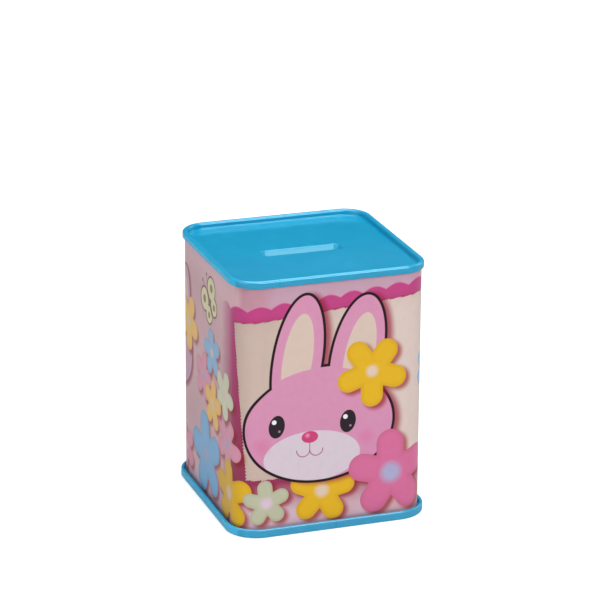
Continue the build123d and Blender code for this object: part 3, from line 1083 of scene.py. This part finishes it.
def plastic_material(name, marks, crest_z, milk, slotted, tint):
    """Glossy moulded plastic, slightly translucent, with faint flow clouds, scratches,
    paler rubbed high edges and a painted glow on top of the rim. marks are knit lines on
    the front and back walls: (x, y of the wall, half width); crest_z is the height from which
    the painted glow makes the rim paler; milk whitens the whole; slotted is for the cap with
    the coin slot; tint colours the shine."""
    material, pen, bsdf = new_material(name)
    place = pen.object_mm()
    x, y, z = pen.split(place)

    def outward():
        return pen.max(pen.abs(x), pen.abs(y))

    flow = pen.noise(place, scale=0.035, detail=3.0, rough=0.55, distortion=0.6)
    cloud = pen.noise(place, scale=0.13, detail=3.0)
    speck = pen.noise(place, scale=5.0, rough=0.6)
    col = pen.mix(pen.const(CAP_BLUE), CAP_DEEP, pen.fade(flow, off=0.38, on=0.66))
    col = pen.mix(col, CAP_PALE, pen.fade(cloud, off=0.52, on=0.78) * 0.35)
    col = pen.tone(col, (0.9, 0.93, 0.95), pen.fade(speck, off=0.62, on=0.72) * 0.25)
    col = pen.mix(col, CAP_MILK, milk)
    if slotted:
        # a little greyer towards the front
        col = pen.mix(col, CAP_GREYER, pen.fade(y, off=8, on=-14) * 0.12)
    # rubbed edges
    geometry = pen.node("ShaderNodeNewGeometry")
    edge = pen.fade(Value(pen, geometry.outputs["Pointiness"]), off=0.52, on=0.60)
    worn = pen.fade(pen.noise(place, scale=0.6, detail=3.0, rough=0.6), off=0.35, on=0.7)
    col = pen.mix(col, CAP_WEAR_AND_GLOW, edge * worn * 0.15)
    # painted glow: the top of the rim is made paler, standing in for light shining through the
    # plastic
    painted_glow = pen.fades((z, crest_z, crest_z + 0.35), (outward(), 31, 32)) * 0.10
    if slotted:
        # painted glow: the slopes of the coin slot are made paler too, standing in for light
        # shining through them
        painted_glow = painted_glow + pen.fades((z, 87.78, 87.55), (z, 85.6, 86.2),
                                  (pen.abs(x), 15.2, 14.6), (pen.abs(y), 4.3, 3.9)) * 0.15
    col = pen.mix(col, CAP_WEAR_AND_GLOW, painted_glow)
    # painted light: walls near the outside that face left are made paler, standing in for the
    # low left light shining into them
    normal_x = pen.split(geometry.outputs["Normal"])[0]
    col = pen.tone(col, (1.2, 1.5, 1.5),
                   pen.fades((normal_x, -0.45, -0.9), (outward(), 32.5, 33.2)))
    ripple = pen.noise(place, scale=1.6, detail=3.0, rough=0.55)
    knit = reduce(pen.max, [
        pen.fades((pen.abs(x - mark_x), half, half * 0.25),
                  (y * math.copysign(1.0, wall), abs(wall) - 2.2, abs(wall) - 1.4))
        for mark_x, wall, half in marks])
    col = pen.tone(col, (0.62, 0.72, 0.78), knit * 0.7)
    hair = pen.max(scratches(pen, place, scale=2.2, seed=0.2),
                   scratches(pen, place, scale=1.7, seed=1.4, threshold=0.66)) * 0.5
    height = pen.madd(hair, -0.15, ripple * 0.25 + cloud * 0.9) - knit * 1.2
    pen.put_all(bsdf, {
        "Base Color": col,
        "Roughness": pen.madd(cloud, 0.10, 0.11) + hair * 0.10,
        "IOR": 1.58,
        "Specular IOR Level": pen.fade(z, off=crest_z - 1.2, on=crest_z - 0.6) * 0.3 + 0.5,
        "Specular Tint": tint,
        "Subsurface Weight": 0.12,
        "Subsurface Radius": (0.3, 0.9, 1.4),
        "Subsurface Scale": 0.0012,
        "Normal": pen.bump(height, strength=0.16, distance=0.0001),
    })
    return material


# in the order of the sleeve's faces, each centred a whole number of sides from the front
PRINTS = [
    print_material(name, (face - 0.5) * SIDE, (face + 0.5) * SIDE)
    for name, face in (("print_front", 0), ("print_right", 1), ("print_back", 2),
                       ("print_left", -1))
]
TINPLATE = tin_material()
LID_PLASTIC = plastic_material(
    "lid_plastic", marks=[(-19.3, -COVER, 0.28), (19.0, COVER, 0.25)], crest_z=89.25,
    milk=0.012, slotted=True, tint=(0.58, 0.94, 1.0))
BASE_PLASTIC = plastic_material(
    "base_plastic", marks=[(0.6, -BASE, 0.3), (-0.4, BASE, 0.25)], crest_z=2.6,
    milk=0.10, slotted=False, tint=(0.8, 0.96, 1.0))

# ---------------------------------------------------------------- assembly
for build, materials, slot, node in (
    (build_sleeve, PRINTS + [TINPLATE], "printed_tin", "tin_body"),
    (build_lid, [LID_PLASTIC], "cap_plastic", "top_cap"),
    (build_base, [BASE_PLASTIC], "cap_plastic", "base_cap"),
):
    piece = build()
    for material in materials:
        piece.data.materials.append(material)
    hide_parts(node)
    # the hidden CAD node keeps a fitting material too
    cad_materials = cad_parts[node].data.materials
    cad_materials.clear()
    cad_materials.append(materials[-1])

# ---------------------------------------------------------------- floor
FLOOR_ALBEDO = 0.65
FLOOR_LIFT = 0.5           # glow that the camera sees
FLOOR_SHEEN = 0.64         # share of the albedo that reflections see
FLOOR_HALF = 6000.0
FLOOR_CORNER_R = 10.0
FLOOR_HOLE = 34.3
FLOOR_DROP = 0.00002       # m


def floor_material():
    material = bpy.data.materials.new("floor_paper")
    pen = blank_pen(material)
    output = pen.node("ShaderNodeOutputMaterial")
    path = pen.node("ShaderNodeLightPath")
    # a polished side sees less of the paper than the lens does
    glossy = Value(pen, path.outputs["Is Glossy Ray"])
    albedo = glossy * (FLOOR_SHEEN * FLOOR_ALBEDO - FLOOR_ALBEDO) + FLOOR_ALBEDO
    grey = pen.node("ShaderNodeCombineColor")
    for i in range(3):
        pen.put(grey.inputs[i], albedo)
    diffuse = pen.node("ShaderNodeBsdfDiffuse")
    pen.put(diffuse.inputs["Color"], grey.outputs[0])
    # paper lit from behind, so that it shows white with only a faint contact shadow
    glow = pen.node("ShaderNodeEmission")
    pen.put(glow.inputs["Strength"], Value(pen, path.outputs["Is Camera Ray"]) * FLOOR_LIFT)
    paper = pen.node("ShaderNodeAddShader")
    pen.put(paper.inputs[0], diffuse.outputs[0])
    pen.put(paper.inputs[1], glow.outputs[0])
    # seen from below the floor gives way, so that the underside can be looked at
    clear = pen.node("ShaderNodeBsdfTransparent")
    below = Value(pen, pen.node("ShaderNodeNewGeometry").outputs["Backfacing"]) * 1.0
    pen.put(output.inputs[0], pen.mix_shaders(paper.outputs[0], clear.outputs[0], below))
    return material


def make_floor():
    # open under the box, just inside its outer edge, where only the underside sees it
    mesh = loops_to_mesh("studio_floor", [
        ring(FLOOR_HALF, FLOOR_HALF, FLOOR_CORNER_R, 0.0),
        square(FLOOR_HOLE, 0.0, BASE_CORNER)])
    obj = bpy.data.objects.new(mesh.name, mesh)
    obj.location.z = -FLOOR_DROP
    scene.collection.objects.link(obj)
    mesh.materials.append(floor_material())


make_floor()

# ---------------------------------------------------------------- lights, in metres
LIGHT_TARGET = Vector((0, 0, 0.045))
# name, place, width and height, watts
LIGHTS = [
    ("softbox_top", (0.0, 0.05, 1.15), (1.0, 1.0), 11.9),
    ("softbox_front", (0.28, -1.22, 0.98), (1.15, 0.72), 14.0),
    ("softbox_left", (-1.3, -0.5, 0.58), (1.3, 1.0), 6.6),
    ("softbox_right", (1.35, 0.2, 0.6), (0.9, 0.9), 3.0),
]
for name, place, size, watts in LIGHTS:
    light = bpy.data.lights.new(name, "AREA")
    light.shape = "RECTANGLE"
    light.size, light.size_y = size
    light.energy = watts
    obj = bpy.data.objects.new(name, light)
    obj.location = place
    obj.rotation_mode = "QUATERNION"
    obj.rotation_quaternion = (LIGHT_TARGET - Vector(place)).to_track_quat("-Z", "Y")
    scene.collection.objects.link(obj)

# ---------------------------------------------------------------- world
ROOM_LOW, ROOM_HIGH = (0.07, 0.07, 0.075), (0.22, 0.22, 0.22)
BEHIND_LEFT, BEHIND_RIGHT = (0.015, 0.015, 0.016), (0.06, 0.06, 0.065)
ROOM_BELOW = (0.55, 0.55, 0.55)


def make_world():
    """A dim room for the light, plain white for the camera."""
    world = bpy.data.worlds.new("studio")
    pen = blank_pen(world)
    output = pen.node("ShaderNodeOutputWorld")
    x, y, z = pen.split(pen.node("ShaderNodeTexCoord").outputs["Generated"])
    room = pen.mix(pen.const(ROOM_LOW), ROOM_HIGH, pen.fade(z, off=0.25, on=1.0))
    # the room behind the box is dark, most of all behind its left
    dusk = pen.fades((y, 0.0, 0.35), (z, 0.5, 0.3))
    behind = pen.mix(pen.const(BEHIND_LEFT), BEHIND_RIGHT, pen.fade(x, off=-0.2, on=0.5))
    room = pen.mix(room, behind, dusk)
    # and bright below the floor, for the underside alone
    room = pen.mix(room, ROOM_BELOW, pen.fade(z, off=-0.03, on=-0.1))
    dim = pen.node("ShaderNodeBackground")
    pen.put(dim.inputs[0], room)
    white = pen.node("ShaderNodeBackground")
    pen.put(white.inputs[0], (1, 1, 1))
    seen = pen.node("ShaderNodeLightPath").outputs["Is Camera Ray"]
    pen.put(output.inputs[0], pen.mix_shaders(dim.outputs[0], white.outputs[0], seen))
    return world


scene.world = make_world()
scene.view_settings.view_transform = "Standard"
scene.view_settings.look = "None"

# ---------------------------------------------------------------- camera
YAW, PITCH, ROLL = 0.3377064625, 0.3334741364, 0.0059654276    # radians
CAMERA_PLACE = Vector((-321.208, -913.407, 405.297)) * MM

camera_data = bpy.data.cameras.new("camera")
camera_data.sensor_width = 36.0
camera_data.lens = 181.38
camera_data.clip_start, camera_data.clip_end = 0.05, 50.0      # m
camera = bpy.data.objects.new("camera", camera_data)
ahead = Vector((math.sin(YAW) * math.cos(PITCH), math.cos(YAW) * math.cos(PITCH),
                -math.sin(PITCH)))
level_right = Vector((math.cos(YAW), -math.sin(YAW), 0.0))
level_up = level_right.cross(ahead)
right = level_right * math.cos(ROLL) + level_up * math.sin(ROLL)
up = level_up * math.cos(ROLL) - level_right * math.sin(ROLL)
axes = Matrix((right, up, -ahead)).transposed()
camera.matrix_world = Matrix.Translation(CAMERA_PLACE) @ axes.to_4x4()
scene.collection.objects.link(camera)
scene.camera = camera
